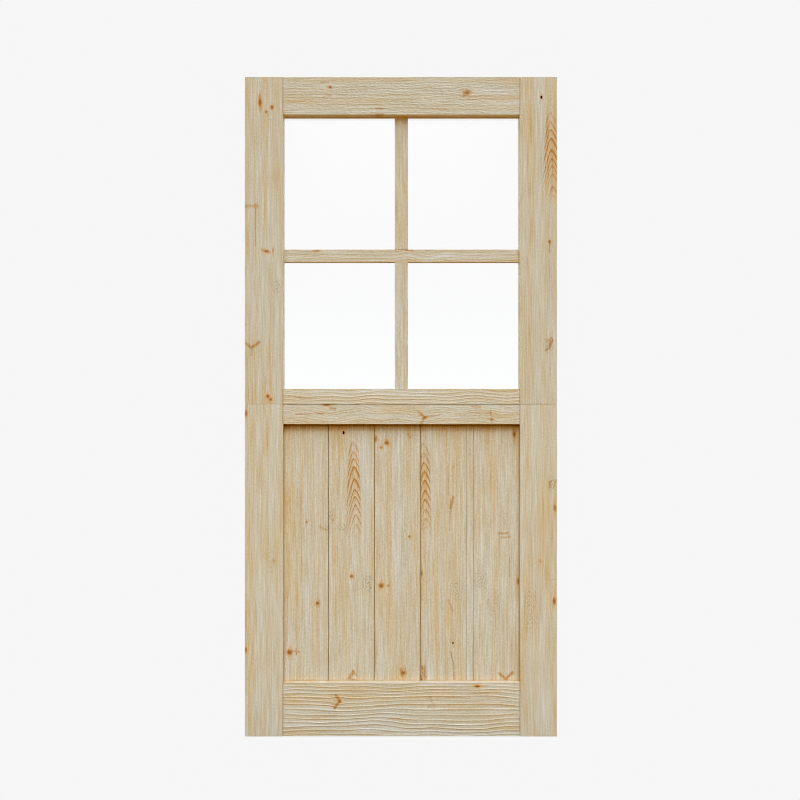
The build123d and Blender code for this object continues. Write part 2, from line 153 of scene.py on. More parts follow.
# ---------------------------------------------------------------------------
# Pine. Lengths in millimetres: u along the grain, v across it on the face, w in depth.
#
# A piece's grain is described by a few words:
#   ring, wander, ripple      spacing of the year rings, and how far the fibres stray slowly and quickly
#   sway, bend                how far they sway to and fro besides, and over what length
#   knots                     (u, v, half length, half width, strength)
#   arches                    (u of the top arch, v, reach down, spacing, steepness left and right, strength)
#   strokes                   (u, v, u, v, half width, strength): short resin coloured marks
#   waves                     (u, v, half length, half width, rise): a swell in the run of the fibres
#   crinkles                  (u, v, half length, half width, strength): a patch of curly fibres
#   lines, relief, dash       colour of the ring lines, and height in mm of the ridges and of the short humps
# ---------------------------------------------------------------------------
def grain(g, u, v, w, s):
    """The run of the rings through a piece, used by its finish and by its relief."""
    k = s["seed"] * 13.7
    low = g.noise(g.vec(g.madd(u, 1 / 520.0, k), g.mul(v, 1 / 130.0), g.mul(w, 1 / 130.0)))
    mid = g.noise(g.vec(g.madd(u, 1 / s.get("mid", 120.0), k + 5.0), g.mul(v, 1 / 30.0), g.mul(w, 1 / 30.0)), detail=2.0)
    vv = g.madd(low, s.get("wander", 7.0), v)
    vv = g.madd(mid, s.get("ripple", 1.6), vv)
    if s.get("sway"):
        sway = g.noise(g.vec(g.madd(u, 1 / s["bend"], k + 7.0), g.mul(v, 1 / 90.0), g.mul(w, 1 / 90.0)), detail=0.0)
        vv = g.madd(sway, s["sway"], vv)
    for (wu, wv, lu, lv, rise) in s.get("waves", ()):
        du, dv = g.madd(u, 1 / lu, -wu / lu), g.madd(v, 1 / lv, -wv / lv)
        vv = g.madd(g.math("EXPONENT", g.mul(g.madd(du, du, g.mul(dv, dv)), -1.0)), -rise, vv)
    for (ku, kv, ru, rv, strength) in s.get("knots", ()):
        lu, lv = 3.5 * ru + 6.0, 2.2 * rv + 4.0
        du, dv = g.madd(u, 1 / lu, -ku / lu), g.sub(v, kv)
        eye = g.math("EXPONENT", g.mul(g.madd(du, du, g.mul(g.mul(dv, dv), 1 / lv ** 2)), -1.0))
        vv = g.madd(g.mul(eye, dv), -0.72 * min(1.0, strength + 0.3), vv)
    pv, pw = s.get("pith", (-140.0, -60.0))
    dv, dw = g.sub(vv, pv), g.sub(w, pw)
    radius = g.math("SQRT", g.madd(dv, dv, g.mul(dw, dw)))
    ring = s.get("ring", 3.2)
    loose = g.noise(g.vec(g.mul(radius, 1 / (6.0 * ring)), k, g.mul(u, 1 / 2500.0)), detail=1.0)
    phase = g.madd(loose, s.get("uneven", 1.6), g.mul(radius, 1 / ring))
    cell, f = g.math("FLOOR", phase), g.math("FRACT", phase)
    each = g.white(g.add(cell, k))
    late = g.mul(g.step(f, s.get("early", 0.35), s.get("crest", 0.86)), g.step(f, 1.0, s.get("crest", 0.86) + 0.02))
    patch = g.step(g.noise(g.vec(g.madd(u, 1 / 260.0, k + 9.0), g.mul(v, 1 / 30.0), g.mul(w, 1 / 30.0)), detail=1.5),
                   -0.30, 0.34, s.get("least", 0.25), 1.0)
    return {"k": k, "low": low, "mid": mid, "radius": radius, "late": g.mul(late, g.madd(each, 0.55, 0.45)),
            "patch": patch, "u": u, "v": v, "w": w}


def humps(g, r, s):
    """Short humps and dashes that a wire brush leaves between the rings, from 0 to 1."""
    n = g.noise(g.vec(g.madd(r["u"], 1 / 17.0, r["k"] + 2.0), g.mul(r["radius"], 1 / 3.6), g.mul(r["w"], 1 / 40.0)), detail=1.5)
    return g.step(n, -0.28, 0.34)


def curls(g, r, s):
    """Curly patches: thin lines that swirl round small eyes, from 0 to 1."""
    total = None
    for (cu, cv, lu, lv, strength) in s.get("crinkles", ()):
        du, dv = g.madd(r["u"], 1 / lu, -cu / lu), g.madd(r["v"], 1 / lv, -cv / lv)
        far = g.math("SQRT", g.madd(du, du, g.mul(dv, dv)))
        curl = g.noise(g.vec(g.mul(r["u"], 1 / 9.0), g.mul(r["v"], 1 / 7.0), g.madd(r["w"], 0.01, r["k"])), detail=1.0)
        f = g.math("FRACT", g.madd(curl, 1.1, g.mul(far, math.sqrt(lu * lv) / 8.5)))
        line = g.mul(g.step(f, 0.0, 0.12), g.step(f, 0.44, 0.20))
        total = g.most(total, g.mul(g.mul(line, g.step(far, 1.25, 0.45)), 0.72 * strength))
    return total


def knot_marks(g, r, s):
    """Masks of the knots: whole, dark heart, open hole whose dark is painted shade, and the warm halo along the fibres.
    """
    whole = heart = hole = halo = None
    for (ku, kv, ru, rv, strength) in s.get("knots", ()):
        du = g.madd(g.madd(r["mid"], 0.9, r["u"]), 1 / ru, -ku / ru)
        dv = g.madd(g.madd(r["mid"], 1.4, r["v"]), 1 / rv, -kv / rv)
        uu, vv = g.mul(du, du), g.mul(dv, dv)
        near = g.math("SQRT", g.add(uu, vv))
        whole = g.most(whole, g.mul(g.step(near, 1.75, 0.7), min(1.0, strength * 1.1)))
        heart = g.most(heart, g.mul(g.step(near, 1.05, 0.2), strength))
        if strength > 0.98:
            hole = g.most(hole, g.step(near, 1.45, 0.85))
        far = g.math("SQRT", g.madd(uu, 0.075, g.mul(vv, 0.20)))
        halo = g.most(halo, g.mul(g.step(far, 1.3, 0.25), strength))
    return whole, heart, hole, halo


def stroke_marks(g, r, s):
    total = None
    for (u0, v0, u1, v1, half, strength) in s.get("strokes", ()):
        au, av = u1 - u0, v1 - v0
        ll = max(au * au + av * av, 0.01)
        pu, pv = g.sub(r["u"], u0), g.sub(g.madd(r["mid"], 2.0, r["v"]), v0)
        h = g.madd(pu, au / ll, g.mul(pv, av / ll))
        h = g.math("MINIMUM", g.math("MAXIMUM", h, 0.0), 1.0)
        qu, qv = g.madd(h, -au, pu), g.madd(h, -av, pv)
        d = g.math("SQRT", g.madd(qu, qu, g.mul(qv, qv)))
        d = g.madd(r["mid"], half * 0.8, d)
        total = g.most(total, g.mul(g.step(d, half * 2.6, half * 0.3), min(1.0, strength * 1.4)))
    return total


def arch_marks(g, r, s):
    """Nested arches where a flat-sawn face cuts the rings, strongest near their sharp upper edge."""
    total = glow = None
    for (fu, fv, reach, spacing, left, right, strength) in s.get("arches", ()):
        low_end = reach * spacing
        below = g.madd(r["u"], -1.0, fu)
        lean = g.madd(below, -0.035, 0.035 * 4.0 * spacing)
        dv = g.add(g.sub(g.madd(r["low"], 5.0, r["v"]), fv), lean)
        out = g.math("ABSOLUTE", dv)
        side = g.step(dv, -3.0, 3.0, left, right)
        blunt = g.step(dv, -4.0, 4.0, 5.5, 9.0)
        curve = g.sub(g.math("SQRT", g.madd(dv, dv, g.mul(blunt, blunt))), blunt)
        q = g.madd(curve, side, g.madd(r["low"], 14.0, r["u"]))
        phase = g.madd(q, -1.0 / spacing, fu / spacing)
        phase = g.madd(g.noise(g.vec(g.mul(phase, 0.45), 3.0, r["k"])), 0.8, phase)
        f = g.math("FRACT", phase)
        thick = g.madd(out, 0.012, 0.16)
        core = g.mul(g.step(f, 0.0, 0.07), g.step(g.sub(f, thick), 0.24, 0.0))
        tail = g.mul(g.step(f, 0.0, 0.10), g.step(f, 0.95, 0.15))
        each = g.white(g.add(g.math("FLOOR", phase), r["k"]))
        # a flame: narrow at the top, wider on the left the lower it goes, cut off at the foot
        left_limit = g.step(below, 0.0, low_end * 0.95, 9.0, 32.0, smooth=False)
        reach_left = g.step(g.add(dv, left_limit), -5.0, 4.0)
        down = g.mul(g.step(below, -14.0, 4.8 * spacing), g.step(below, low_end * 1.04, low_end * 0.80))
        down = g.mul(down, g.step(below, low_end * 0.46, low_end * 0.82, 1.0, 0.50))
        flank = g.step(dv, -6.0, -22.0, 1.0, 0.78)
        shape = g.mul(g.mul(down, g.mul(g.mul(reach_left, flank), g.step(dv, 19.0, 14.0))), strength)
        line = g.mul(g.madd(tail, 0.28, core), g.madd(each, 0.35, 0.88))
        total = g.most(total, g.mul(line, shape))
        glow = g.most(glow, g.mul(shape, g.step(out, 30.0, 8.0)))
    return total, glow


PALE = srgb(207, 200, 186)
LIGHT = srgb(205, 193, 171)
MID = srgb(203, 185, 155)
TAN = srgb(205, 176, 134)
AMBER = srgb(203, 162, 108)
GLOW = srgb(203, 160, 104)
RESIN = srgb(182, 130, 70)
KNOT = srgb(184, 124, 68)
KNOT_DARK = srgb(126, 74, 32)
HOLE_SHADE = srgb(20, 12, 8)


def axes(g, position, s):
    x, y, z = g.split(g.vmath("MULTIPLY", position, (1000.0, 1000.0, 1000.0)))
    w = g.add(y, 28.25)
    if s["along"] == "x":
        return x, g.sub(z, s["v0"]), w
    return z, g.sub(x, s["v0"]), w


def finish(name, s, carved=False):
    """The finish of a piece of pine, with painted light and shade on some faces besides the wood's own colour. A carved
    piece has its ridges in its mesh already.
    """
    m = bpy.data.materials.new("pine_" + name)
    m.use_nodes = True
    t = m.node_tree
    for n in list(t.nodes):
        t.nodes.remove(n)
    g = Graph(t)
    tc = g.new("ShaderNodeTexCoord")
    u, v, w = axes(g, tc.outputs["Object"], s)
    r = grain(g, u, v, w, s)
    k, radius = r["k"], r["radius"]
    nx, ny, nz = g.split(tc.outputs["Normal"])
    end = g.step(g.math("ABSOLUTE", nx if s["along"] == "x" else nz), 0.6, 0.9)

    # long streaks that follow the rings: broad, middling, and down to the fibres
    broad = g.noise(g.vec(g.mul(radius, 1 / 27.0), g.madd(u, 1 / 900.0, k), g.mul(w, 1 / 200.0)), detail=1.0)
    zone = g.step(broad, -0.22, 0.24, -0.5, 0.5)
    streak = g.noise(g.vec(g.mul(radius, 1 / 7.5), g.madd(u, 1 / 360.0, k + 1.0), g.mul(w, 1 / 90.0)), detail=1.5, rough=0.6)
    thread = g.noise(g.vec(g.mul(radius, 1 / 2.7), g.madd(u, 1 / 110.0, k + 2.0), g.mul(w, 1 / 30.0)), detail=1.5, rough=0.6)
    fleck = g.noise(g.vec(g.madd(u, 1 / 6.0, k), g.mul(v, 1 / 3.0), g.mul(w, 1 / 3.0)), detail=2.0, rough=0.7)
    cloud = g.noise(g.vec(g.madd(u, 1 / 170.0, k + 3.0), g.mul(v, 1 / 45.0), g.mul(w, 1 / 45.0)), detail=2.0, rough=0.6)

    tone = g.madd(zone, s.get("broad", 0.27), s.get("base", 0.42))
    tone = g.madd(streak, s.get("streak", 0.24), tone)
    tone = g.madd(thread, s.get("thread", 0.50), tone)
    tone = g.madd(fleck, s.get("fleck", 0.38), tone)
    tone = g.madd(cloud, 0.34, tone)
    tone = g.madd(g.mul(r["late"], r["patch"]), s.get("lines", 0.30), tone)
    whole, heart, hole, halo = knot_marks(g, r, s)
    crinkle = curls(g, r, s)
    if crinkle is not None:
        tone = g.madd(crinkle, 0.30, tone)
    colour = g.ramp(tone, [(0.0, PALE), (0.24, LIGHT), (0.5, MID), (0.76, TAN), (1.0, AMBER)])
    break_up = g.madd(g.add(thread, fleck), 0.8, 0.85)
    if halo is not None:
        colour = g.mixc(g.math("MULTIPLY", g.mul(halo, 0.72), break_up, clamp=True), colour, GLOW)

    arch, glow = arch_marks(g, r, s)
    if arch is not None:
        flat = g.step(g.math("ABSOLUTE", nx), 0.75, 0.35)  # arches show on the flat faces only, not on the edges
        arch, glow = g.mul(arch, flat), g.mul(glow, flat)
        colour = g.mixc(g.math("MULTIPLY", g.mul(glow, 0.58), break_up, clamp=True), colour, GLOW)
        colour = g.mixc(g.math("MULTIPLY", arch, break_up, clamp=True), colour, RESIN)
    stroke = stroke_marks(g, r, s)
    if stroke is not None:
        colour = g.mixc(g.math("MULTIPLY", stroke, break_up, clamp=True), colour, RESIN)
    if whole is not None:
        inside = g.noise(g.vec(g.mul(u, 1 / 3.0), g.mul(v, 1 / 2.6), k), detail=1.0)
        brown = g.mixc(g.math("MULTIPLY", heart, g.madd(inside, 0.9, 0.75), clamp=True), KNOT, KNOT_DARK)
        colour = g.mixc(g.math("MULTIPLY", whole, g.madd(inside, 0.5, 0.9), clamp=True), colour, brown)
    if hole is not None:
        # painted shade: the open hole is a near-black disc in the colour, not a cut in the mesh
        colour = g.mixc(hole, colour, HOLE_SHADE)
    gain = s.get("gain", 1.0)
    shade = g.madd(g.add(fleck, thread), -0.24 * gain, gain)
    shade = g.madd(streak, -0.10, shade)
    if crinkle is not None:
        shade = g.madd(crinkle, -0.42, shade)
    colour = g.vmath("MULTIPLY", colour, g.vec(shade, shade, shade))
    # undersides are lightened with painted light, and faces far back in a joint are darkened with painted shade
    painted_underside_light = g.step(nz, -0.4, -0.8)
    colour = g.mixc(painted_underside_light, colour, g.mixc(1.0, colour, (1.10, 1.08, 1.02, 1.0), "MULTIPLY"))
    # painted light: the side faces beside the openings are brightened, as if lit through them
    if s.get("reveal"):
        way, painted_light_tint = s["reveal"]
        inner = g.step(g.mul(nx, way) if way else g.math("ABSOLUTE", nx), 0.4, 0.8)
        colour = g.mixc(inner, colour, g.mixc(1.0, colour, painted_light_tint, "MULTIPLY"))
    # painted shade: front-facing faces far back in a joint, such as tongues and laps, are darkened and browned
    painted_joint_shade = g.mul(g.step(w, s["face"] + 3.2 if s["face"] < 1.0 else s["face"] + 1.0, s["face"] + 4.2), g.step(ny, -0.4, -0.8))
    colour = g.mixc(painted_joint_shade, colour, g.mixc(1.0, colour, (0.76, 0.58, 0.38, 1.0), "MULTIPLY"))
    # painted light: upper faces are lightened as if lit from above, the feet of the boards get painted bounce light
    # from the ledge, and their ends painted shade where they meet the rails
    colour = g.mixc(g.step(nz, 0.4, 0.9), colour, g.mixc(1.0, colour, (1.12, 1.0, 0.94, 1.0), "MULTIPLY"))
    if s.get("foot"):
        ahead = g.step(ny, -0.4, -0.8)
        # painted bounce light from the ledge: the boards' feet are lightened and warmed
        painted_bounce_light = g.mul(g.step(u, s["foot"] + 20.0, s["foot"] + 6.0), ahead)
        colour = g.mixc(painted_bounce_light, colour, g.mixc(1.0, colour, (1.11, 1.01, 0.92, 1.0), "MULTIPLY"))
        # painted contact shade: a brown line at the boards' feet where they meet the ledge
        painted_shade_band = g.mul(g.step(u, s["foot"] + 2.6, s["foot"] + 1.2), ahead)
        colour = g.mixc(painted_shade_band, colour, g.mixc(1.0, colour, (0.80, 0.66, 0.42, 1.0), "MULTIPLY"))
        # painted shadow under the rail above the boards, darkest right next to it
        painted_shade_band = g.mul(g.step(u, s["head"] - 10.0, s["head"] - 3.0), ahead)
        colour = g.mixc(painted_shade_band, colour, g.mixc(1.0, colour, (0.62, 0.58, 0.56, 1.0), "MULTIPLY"))
        painted_shade_band = g.mul(g.step(u, s["head"] - 30.0, s["head"] - 6.0), ahead)
        colour = g.mixc(painted_shade_band, colour, g.mixc(1.0, colour, (0.77, 0.68, 0.58, 1.0), "MULTIPLY"))
    # end grain is darker and warmer
    colour = g.mixc(g.mul(end, 0.6), colour, g.mixc(1.0, colour, (0.80, 0.69, 0.54, 1.0), "MULTIPLY"))

    # height in millimetres of what is too fine for the mesh
    height = g.mul(thread, s.get("fibre", 0.10))
    height = g.madd(fleck, s.get("fibre", 0.10) * 0.8, height)
    if not carved:
        height = g.madd(g.mul(r["late"], r["patch"]), s.get("relief", 0.12), height)
        if s.get("dash"):
            height = g.madd(humps(g, r, s), s["dash"], height)
        if crinkle is not None:
            height = g.madd(crinkle, -0.45, height)
    if whole is not None:
        height = g.madd(whole, 0.15, height)
    bump = g.new("ShaderNodeBump")
    bump.inputs["Strength"].default_value = 1.0
    bump.inputs["Distance"].default_value = 0.001
    g.put(height, bump.inputs["Height"])

    bsdf = g.new("ShaderNodeBsdfPrincipled")
    g.put(colour, bsdf.inputs["Base Color"])
    g.put(g.step(tone, 0.1, 1.0, 0.72, 0.52, smooth=False), bsdf.inputs["Roughness"])
    bsdf.inputs["Specular IOR Level"].default_value = 0.25
    g.put(bump.outputs[0], bsdf.inputs["Normal"])
    out = g.new("ShaderNodeOutputMaterial")
    g.put(bsdf.outputs[0], out.inputs["Surface"])
    return m


# ---------------------------------------------------------------------------
# Carved rails: the brushed face is real relief in the mesh
# ---------------------------------------------------------------------------
ARRIS = 0.0008
RIM = 0.62  # how far the plain rim lies between the tops of the ridges and the hollows


def marks_along(lo, hi, step, fine):
    """Grid lines from lo to hi, closer together in the rounded arris at each end."""
    edge = [0.0, 0.00010, 0.00030, 0.00055, 0.0008, 0.0016] if fine else [0.0]
    inner_lo, inner_hi = lo + edge[-1], hi - edge[-1]
    n = max(2, int(round((inner_hi - inner_lo) / step)))
    middle = [inner_lo + (inner_hi - inner_lo) * i / n for i in range(n + 1)]
    return [lo + e for e in edge[:-1]] + middle + [hi - e for e in reversed(edge[:-1])]


def relief_group(name, s):
    tree = bpy.data.node_groups.new("relief_" + name, "GeometryNodeTree")
    tree.interface.new_socket("Geometry", in_out="INPUT", socket_type="NodeSocketGeometry")
    tree.interface.new_socket("Geometry", in_out="OUTPUT", socket_type="NodeSocketGeometry")
    g = Graph(tree)
    start, stop = g.new("NodeGroupInput"), g.new("NodeGroupOutput")
    u, v, w = axes(g, g.new("GeometryNodeInputPosition").outputs[0], s)
    r = grain(g, u, v, w, s)
    height = g.mul(g.mul(r["late"], g.madd(r["patch"], 0.5, 0.5)), s["relief"])
    if s.get("dash"):
        height = g.madd(humps(g, r, s), s["dash"], height)
    crinkle = curls(g, r, s)
    if crinkle is not None:
        height = g.madd(crinkle, -0.6, height)
    fade = g.new("GeometryNodeInputNamedAttribute", data_type="FLOAT")
    fade.inputs["Name"].default_value = "fade"
    most = s["relief"] + s.get("dash", 0.0)
    sunk = g.sub(g.math("MAXIMUM", g.sub(most, height), 0.0), RIM * most)
    sunk = g.mul(g.mul(sunk, fade.outputs["Attribute"]), 0.001)
    place = g.new("GeometryNodeSetPosition")
    g.put(start.outputs[0], place.inputs["Geometry"])
    g.put(g.vec(0.0, sunk, 0.0), place.inputs["Offset"])
    g.put(place.outputs[0], stop.inputs[0])
    return tree


def carve(node, s, body, step_along, step_across, round_ends=True, depth=0.0029):
    """Replaces a rail by the same piece with its front face finely meshed and its ridges carved into it."""
    bm = bmesh.new()
    bm.from_mesh(nodes[node].data)
    bmesh.ops.remove_doubles(bm, verts=bm.verts[:], dist=1e-6)
    cut = FRONT_Y + (depth if s["front"] == 0.0 else s["front"] + depth)
    rim_y = FRONT_Y + s["front"] + RIM * 0.001 * (s["relief"] + s.get("dash", 0.0))
    bmesh.ops.bisect_plane(bm, geom=bm.verts[:] + bm.edges[:] + bm.faces[:], dist=1e-6, plane_co=(0, cut, 0),
                           plane_no=(0, -1, 0), clear_outer=True)
    rim = [e for e in bm.edges if e.is_boundary]
    loop = {v for e in rim for v in e.verts}
    x0, x1 = min(v.co.x for v in loop), max(v.co.x for v in loop)
    z0, z1 = min(v.co.z for v in loop), max(v.co.z for v in loop)
    bmesh.ops.contextual_create(bm, geom=rim)

    layer = bm.verts.layers.float.new("fade")
    along_x = marks_along(x0, x1, step_along, round_ends)
    along_z = marks_along(z0, z1, step_across, True)
    grid = []
    for z in along_z:
        row = []
        for x in along_x:
            dx = min(x - x0, x1 - x) if round_ends else 1.0
            dz = min(z - z0, z1 - z)
            h = min(ARRIS, math.hypot(max(0.0, ARRIS - dx), max(0.0, ARRIS - dz)))
            vert = bm.verts.new((x, rim_y + ARRIS - math.sqrt(max(0.0, ARRIS ** 2 - h ** 2)), z))
            fade = min(1.0, max(0.0, (min(dx, dz) - 0.0006) / 0.0022))
            vert[layer] = fade * fade * (3 - 2 * fade)
            row.append(vert)
        grid.append(row)
    for j in range(len(grid) - 1):
        for i in range(len(grid[0]) - 1):
            f = bm.faces.new((grid[j][i], grid[j][i + 1], grid[j + 1][i + 1], grid[j + 1][i]))
            f.smooth = True
    back = [bm.verts.new((x, cut, z)) for x, z in ((x0, z0), (x1, z0), (x1, z1), (x0, z1))]
    low, high = grid[0], grid[-1]
    first, last = [r[0] for r in grid], [r[-1] for r in grid]
    bm.faces.new(back)
    bm.faces.new([back[1], back[0]] + low)
    bm.faces.new([back[3], back[2]] + high[::-1])
    bm.faces.new([back[0], back[3]] + first[::-1])
    bm.faces.new([back[2], back[1]] + last)
    bmesh.ops.recalc_face_normals(bm, faces=bm.faces[:])
    mesh = bpy.data.meshes.new(node + "_raw")
    bm.to_mesh(mesh)
    bm.free()
    raw = bpy.data.objects.new(node + "_raw", mesh)
    bpy.context.scene.collection.objects.link(raw)
    raw.modifiers.new("relief", "NODES").node_group = relief_group(node, s)
    bpy.context.view_layer.update()
    carved = bpy.data.meshes.new_from_object(raw.evaluated_get(bpy.context.evaluated_depsgraph_get()))
    carved.name = node + "_carved"
    bpy.data.objects.remove(raw)
    carved.materials.clear()
    carved.materials.append(finish(node, s, carved=True))
    bpy.data.node_groups.remove(bpy.data.node_groups["relief_" + node])
    piece = bpy.data.objects.new(node + "_carved", carved)
    bpy.context.scene.collection.objects.link(piece)
    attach(piece, body)
    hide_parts(node)
    return piece


# ---------------------------------------------------------------------------
# The grain of each piece, as the photo shows it
# ---------------------------------------------------------------------------
def piece(node, along, mm, **s):
    """Turns places in the photo into places along and across the piece's own grain."""
    lo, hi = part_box(node)
    axis = 2 if along == "x" else 0
    v0 = 500.0 * (lo[axis] + hi[axis])
    s.update(along=along, v0=v0, face=1000.0 * lo[1] + 28.25)

    def place(px, py):
        x, z = at(px, py, mm)
        return (x, z - v0) if along == "x" else (z, x - v0)

    def across(a, b):  # sizes are given as width and height in the photo
        return (a * mm, b * mm) if along == "x" else (b * mm, a * mm)

    for word, more in (("knots", 1.25), ("crinkles", 1.1)):
        s[word] = [(*place(px, py), *across(a * more, b * more), st) for (px, py, a, b, st) in s.get(word, ())]
    s["strokes"] = [(*place(a, b), *place(c, d), half * mm, st) for (a, b, c, d, half, st) in s.get("strokes", ())]
    s["waves"] = [(*place(px, py), *across(a, b), rise) for (px, py, a, b, rise) in s.get("waves", ())]
    s["arches"] = [(*place(px, py), *rest) for (px, py, *rest) in s.get("arches", ())]
    return s


def dress(node, material):
    o = nodes[node]
    o.data.materials.clear()
    o.data.materials.append(material)


stiles = {
    "upper_leaf_left_stile": dict(
        seed=1, pith=(-150, -70),
        knots=[(259.9, 102.4, 1.1, 2.6, 0.95), (271.9, 107.3, 1.1, 1.4, 0.95), (266.1, 111.9, 0.8, 0.9, 0.8),
               (266.4, 251.3, 1.6, 1.0, 0.85), (273.2, 250.7, 0.5, 1.6, 0.6), (267.7, 396.3, 1.1, 1.3, 0.95),
               (270.6, 399.5, 0.9, 1.0, 0.85)],
        strokes=[(255.5, 209, 255.3, 246, 0.35, 0.55), (246.0, 206.2, 256.5, 206.4, 1.1, 0.45), (255.6, 204.5, 255.6, 208, 0.8, 0.5),
                 (246.4, 343.4, 251.3, 347.8, 0.9, 0.65), (258.9, 342.3, 251.3, 347.8, 0.9, 0.65), (251.3, 347.8, 251.6, 355, 0.6, 0.4),
                 (262.5, 249.8, 270, 252.6, 0.8, 0.5), (259.3, 95, 259.9, 110, 0.9, 0.4)],
        crinkles=[(276.2, 285.4, 5, 7, 0.8), (268, 120, 7, 9, 0.3)]),
    "upper_leaf_right_stile": dict(
        seed=2, pith=(-160, -70),
        arches=[(550.9, 101.5, 11.0, 28.5, 3.4, 2.8, 1.0)],
        knots=[(541.4, 97.3, 0.65, 1.05, 1.0), (549.7, 241.7, 1.0, 1.3, 0.85), (550, 344.5, 1.1, 3.2, 0.45)],
        strokes=[(549.7, 243, 549.3, 252, 0.5, 0.45), (552.5, 340, 548, 349, 0.7, 0.6), (547.5, 341, 551, 338, 0.7, 0.5),
                 (546, 350, 549, 348, 0.7, 0.5)],
        crinkles=[(548, 345, 6, 9, 0.6), (530, 190, 6, 8, 0.3)]),
    "lower_leaf_left_stile": dict(
        seed=3, pith=(-150, -90),
        knots=[(246.0, 413.4, 0.9, 2.2, 0.85), (246.0, 649.6, 0.9, 1.9, 0.8), (273.9, 561, 0.9, 1.1, 0.35)],
        crinkles=[(270, 560, 8, 12, 0.35)]),
    "lower_leaf_right_stile": dict(
        seed=4, pith=(-170, -80),
        knots=[(554.9, 507.9, 0.9, 2.2, 0.75), (554.4, 601.1, 1.1, 2.4, 0.85), (540.4, 561, 0.9, 1.1, 0.35)],
        strokes=[(551, 480.5, 549.5, 487.5, 0.5, 0.45), (556, 480, 553.5, 488, 0.5, 0.45)],
        crinkles=[(552, 484, 5, 7, 0.8), (530, 610, 10, 25, 0.5)]),
}
for node, s in stiles.items():
    # the reveal faces round the openings get painted light: the most round the glass, less round the boards
    upper = node.startswith("upper")
    painted_light_tint = (1.60, 1.62, 1.66, 1.0) if upper else (1.27, 1.27, 1.20, 1.0) if "left" in node else (1.12, 1.10, 1.02, 1.0)
    s.update(reveal=(1.0 if "left" in node else -1.0, painted_light_tint), gain=1.0 if upper else 1.035)
    dress(node, finish(node, piece(node, "z", FRONT, **s)))

boards = {
    "board_1": dict(seed=21, pith=(-150, -70),
        knots=[(306.8, 522, 0.7, 0.9, 0.6), (317.7, 603.3, 1.1, 1.2, 0.95), (289.6, 652.1, 1.9, 1.7, 0.95)],
        strokes=[(296.2, 648.5, 296.4, 654.5, 0.5, 0.75), (293.5, 650.8, 299, 651.8, 0.6, 0.5), (320, 527, 326, 530, 0.7, 0.35)],
        crinkles=[(323, 527, 5, 5, 0.4), (318, 600, 6, 6, 0.4)]),
    "board_2": dict(seed=22, pith=(-160, -70),
        arches=[(353.6, 430.5, 11.5, 29.5, 3.4, 2.8, 1.0)],
        knots=[(343.7, 432.6, 0.65, 1.05, 1.0), (351.7, 576.3, 1.3, 1.2, 0.8)],
        strokes=[(349.5, 678, 353, 671.5, 1.0, 0.6), (353, 671.5, 356.5, 676, 0.7, 0.5), (350, 680, 356, 680, 0.8, 0.45)],
        crinkles=[(332, 515.5, 4.5, 8, 0.8), (367.7, 583.3, 6.5, 10, 0.9), (342, 527, 5, 4, 0.7)]),
    "board_3": dict(seed=23, pith=(-140, -80),
        knots=[(386.8, 442.7, 1.5, 1.3, 0.85), (381.2, 447.3, 1.0, 0.9, 0.7), (375.8, 439.0, 1.0, 2.2, 0.7), (409.4, 536.5, 0.8, 0.9, 0.75), (381.3, 585.6, 1.7, 1.7, 0.85), (388.1, 585.6, 0.9, 0.8, 0.6),
               (403.3, 672.9, 1.6, 1.4, 0.85)],
        strokes=[(408, 434, 410.5, 437.5, 0.6, 0.4), (413, 434, 410.5, 437.5, 0.6, 0.4),
                 (400.5, 669, 401.5, 675, 0.7, 0.5), (405.5, 668.5, 405.8, 673, 0.5, 0.35)],
        crinkles=[(405, 545, 5, 30, 0.4), (403, 500, 5, 8, 0.35)]),
    "board_4": dict(seed=24, pith=(-160, -75),
        arches=[(423.9, 434.5, 10.8, 29.0, 3.4, 2.8, 1.0)],
        knots=[(421.4, 573.3, 0.9, 1.9, 0.75), (453, 643, 0.5, 0.6, 1.0)],
        strokes=[(453.2, 497, 450.4, 508, 0.9, 0.6), (450.4, 508, 449.2, 530, 0.7, 0.35), (453.4, 466, 452.8, 467.5, 0.7, 0.4), (447.8, 465, 448.2, 495, 0.6, 0.25),
                 (450.5, 652, 453.6, 664, 0.6, 0.55), (453.6, 664, 453.8, 679, 0.7, 0.5), (448.5, 600, 452.5, 611, 0.6, 0.35),
                 (423, 667, 424.5, 678, 1.3, 0.55), (421, 676, 421.5, 680, 0.9, 0.55)],
        crinkles=[(457, 590, 8, 10, 0.7), (452, 640, 5, 8, 0.4)]),
    "board_filler_strip": dict(seed=25, pith=(-120, -70), base=0.34, broad=0.2, lines=0.12, streak=0.3),
    "board_5": dict(seed=26, pith=(-150, -85),
        knots=[(514.3, 434.2, 1.0, 2.2, 0.95), (518.2, 581.4, 0.8, 2.0, 0.75)],
        strokes=[(499, 533.5, 508, 533, 0.9, 0.45), (501, 537.5, 510, 537, 0.8, 0.4), (509.4, 558, 509.6, 577, 0.35, 0.5),
                 (499.6, 673.8, 506, 678.9, 0.9, 0.7), (512.3, 672.6, 506, 678.9, 0.9, 0.7), (504, 680, 508, 680, 0.8, 0.6)],
        crinkles=[(480, 580, 8, 12, 0.6), (494, 600, 9, 14, 0.45), (505, 520, 8, 10, 0.35)]),
}
for node, s in boards.items():
    dress(node, finish(node, piece(node, "z", DEEP, gain=1.04, foot=165.0, head=962.0, **s)))

# both sides of the upright bar get painted light
dress("glazing_bar_upright", finish("glazing_bar_upright", piece("glazing_bar_upright", "z", DEEP, reveal=(0.0, (1.2, 1.2, 1.2, 1.0)), seed=10, pith=(-90, -60), ring=3.0)))

